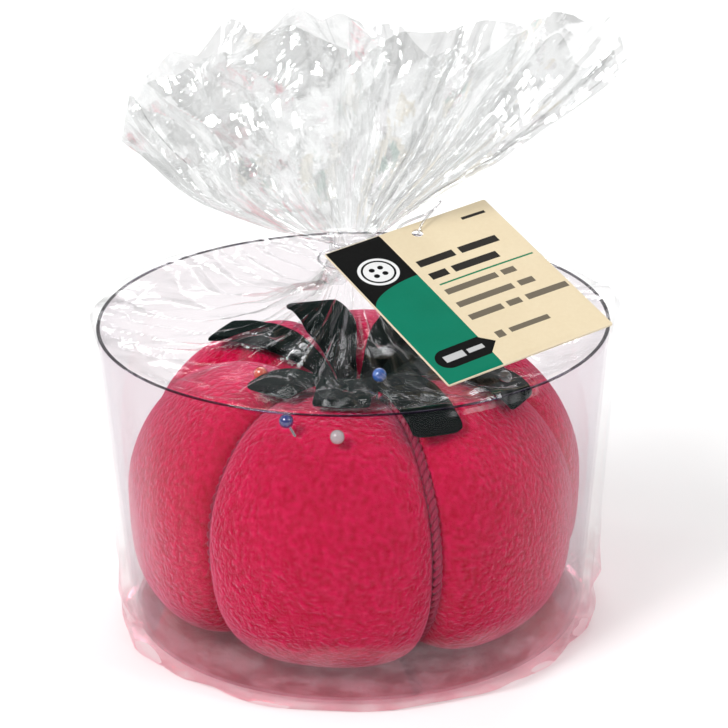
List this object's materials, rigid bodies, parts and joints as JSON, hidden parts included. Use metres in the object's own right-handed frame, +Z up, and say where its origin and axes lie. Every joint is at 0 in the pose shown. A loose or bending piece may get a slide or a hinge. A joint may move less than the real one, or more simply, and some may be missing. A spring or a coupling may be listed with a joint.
{
  "type": "pin cushion",
  "caption": "Lobed velvet tomato pin cushion with felt leaves and ball-headed pins, packed in a clear tub inside a gathered film bag with a hang tag.",
  "frame": {"origin": "on the floor, on the axis of the tub, at the flat underside of the film bag", "axes": "+Z up along the tub's axis; the front, where the tag leans, faces -Y; +X to the right seen from the front"},
  "size_m": [0.1439, 0.1398, 0.1687],
  "materials": {
    "velvet": "short-pile velvet, matt with a soft sheen",
    "fibre": "loose packed fibre",
    "satin_cord": "twisted satin cord",
    "felt": "thick dark felt",
    "pin_steel": "polished nickel-plated steel",
    "blue_bead": "glossy",
    "pearl_bead": "pearly",
    "orange_bead": "glossy",
    "sky_bead": "glossy",
    "black_bead": "glossy",
    "clear_plastic": "clear moulded plastic",
    "film": "crisp clear film",
    "card": "printed card, satin",
    "nylon": "clear nylon"
  },
  "bodies": {
    "packed_cushion": {"velvet_gore_1": "velvet", "velvet_gore_2": "velvet", "velvet_gore_3": "velvet", "velvet_gore_4": "velvet", "velvet_gore_5": "velvet", "velvet_gore_6": "velvet", "cushion_fill": "fibre", "groove_cord_1": "satin_cord", "groove_cord_2": "satin_cord", "groove_cord_3": "satin_cord", "groove_cord_4": "satin_cord", "groove_cord_5": "satin_cord", "groove_cord_6": "satin_cord", "centre_tie": "satin_cord", "crown_leaf_1": "felt", "crown_leaf_2": "felt", "crown_leaf_3": "felt", "crown_leaf_4": "felt", "crown_leaf_5": "felt", "crown_leaf_6": "felt", "crown_leaf_7": "felt", "crown_leaf_8": "felt", "clear_tub": "clear_plastic", "film_bag": "film", "bag_ruffle": "film"},
    "loop": {"tag_loop": "nylon"},
    "tag": {"hang_tag": "card"},
    "blue_pin": {"blue_pin_shaft": "pin_steel", "blue_pin_head": "blue_bead"},
    "pearl_pin": {"pearl_pin_shaft": "pin_steel", "pearl_pin_head": "pearl_bead"},
    "orange_pin": {"orange_pin_shaft": "pin_steel", "orange_pin_head": "orange_bead"},
    "sky_pin": {"sky_pin_shaft": "pin_steel", "sky_pin_head": "sky_bead"},
    "black_pin": {"black_pin_shaft": "pin_steel", "black_pin_head": "black_bead"}
  },
  "joints": [
    {"name": "loop_swivel", "type": "hinge", "parent": "packed_cushion", "child": "loop", "pos_m": [0, 0.008, 0.0986], "axis": [0, 0, 1], "range_deg": [-14, 6]},
    {"name": "tag_lift", "type": "hinge", "parent": "loop", "child": "tag", "pos_m": [0.01747, 0.00334, 0.10656], "axis": [-0.8526, -0.5092, -0.1171], "range_deg": [0, 55]},
    {"name": "blue_pin_slide", "type": "slide", "parent": "packed_cushion", "child": "blue_pin", "axis": [-0.38, -0.3, 0.875], "range_m": [0, 0.008]},
    {"name": "pearl_pin_slide", "type": "slide", "parent": "packed_cushion", "child": "pearl_pin", "axis": [-0.1003, -0.7519, 0.6516], "range_m": [0, 0.008]},
    {"name": "orange_pin_slide", "type": "slide", "parent": "packed_cushion", "child": "orange_pin", "axis": [-0.151, -0.2516, 0.956], "range_m": [0, 0.006]},
    {"name": "sky_pin_slide", "type": "slide", "parent": "packed_cushion", "child": "sky_pin", "axis": [0.1003, -0.2507, 0.9628], "range_m": [0, 0.004]},
    {"name": "black_pin_slide", "type": "slide", "parent": "packed_cushion", "child": "black_pin", "axis": [0.2516, -0.151, 0.956], "range_m": [0, 0.005]}
  ]
}
